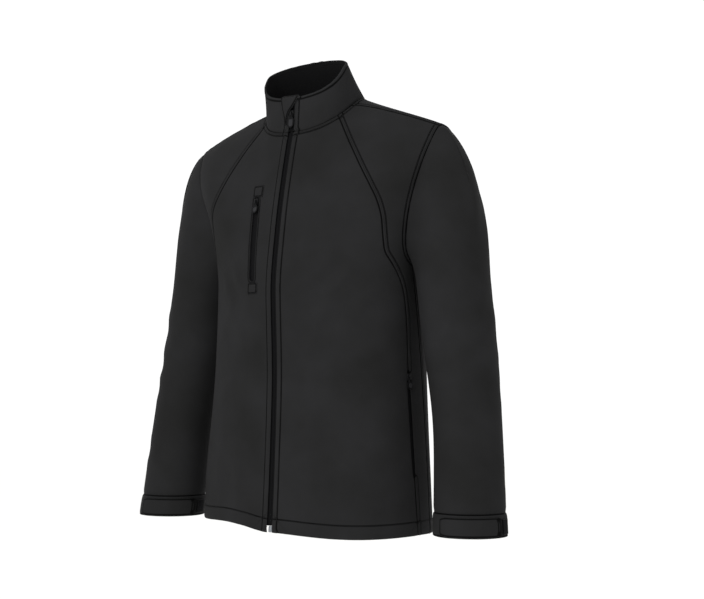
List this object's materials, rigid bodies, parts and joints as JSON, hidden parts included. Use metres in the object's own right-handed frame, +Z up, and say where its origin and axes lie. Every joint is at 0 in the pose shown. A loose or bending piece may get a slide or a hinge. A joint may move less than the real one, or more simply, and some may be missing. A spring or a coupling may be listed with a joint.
{
  "type": "softshell jacket",
  "caption": "Zipped softshell jacket with stand-up collar, zipped chest and side pockets, cuffs with tabs, filled out and empty.",
  "frame": {"origin": "between the shoulders, level with the side of the neck seam, where a wearer carries the jacket", "axes": "+Z up towards the collar, -Y out of the front with the zip, +X towards the wearer's left sleeve"},
  "size_m": [0.7145, 0.2586, 0.7698],
  "materials": {
    "softshell": "matt woven face, bonded",
    "zip_tape": "smooth close weave",
    "loop_felt": "rough looped felt",
    "moulded_pull": "satin moulded",
    "black_metal": "satin black",
    "nickel": "bright plated"
  },
  "bodies": {
    "garment": {"front_left": "softshell", "front_right": "softshell", "side_left": "softshell", "side_right": "softshell", "back": "softshell", "sleeve_left": "softshell", "sleeve_right": "softshell", "cuff_left": "softshell", "cuff_right": "softshell", "cuff_tab_left": "softshell", "cuff_tab_right": "softshell", "collar": "softshell", "chin_guard": "softshell", "chest_end_top": "softshell", "chest_end_foot": "softshell", "zip_tape_left": "zip_tape", "zip_tape_right": "zip_tape", "zip_coil": "zip_tape", "chest_zip": "zip_tape", "side_zip_left": "zip_tape", "side_zip_right": "zip_tape", "cuff_loop_left": "loop_felt", "cuff_loop_right": "loop_felt", "front_slider": "black_metal", "chest_slider": "black_metal", "side_left_slider": "black_metal", "side_right_slider": "black_metal", "zip_box": "nickel"},
    "front_pull": {"front_pull": "moulded_pull"},
    "chest_pull": {"chest_pull": "moulded_pull"},
    "side_left_pull": {"side_left_pull": "moulded_pull"},
    "side_right_pull": {"side_right_pull": "moulded_pull"}
  },
  "joints": [
    {"name": "front_pull_swing", "type": "hinge", "parent": "garment", "child": "front_pull", "pos_m": [0, -0.07431, -0.02569], "axis": [-1, 0, 0], "range_deg": [0, 80]},
    {"name": "chest_pull_swing", "type": "hinge", "parent": "garment", "child": "chest_pull", "pos_m": [-0.05318, -0.09877, -0.16736], "axis": [-0.9923, 0.1061, -0.0636], "range_deg": [0, 150]},
    {"name": "side_left_pull_swing", "type": "hinge", "parent": "garment", "child": "side_left_pull", "pos_m": [0.1922, -0.02013, -0.45065], "axis": [-0.1655, -0.9861, -0.0126], "range_deg": [0, 150]},
    {"name": "side_right_pull_swing", "type": "hinge", "parent": "garment", "child": "side_right_pull", "pos_m": [-0.1922, -0.02013, -0.45065], "axis": [-0.1655, 0.9861, 0.0126], "range_deg": [0, 150]}
  ]
}
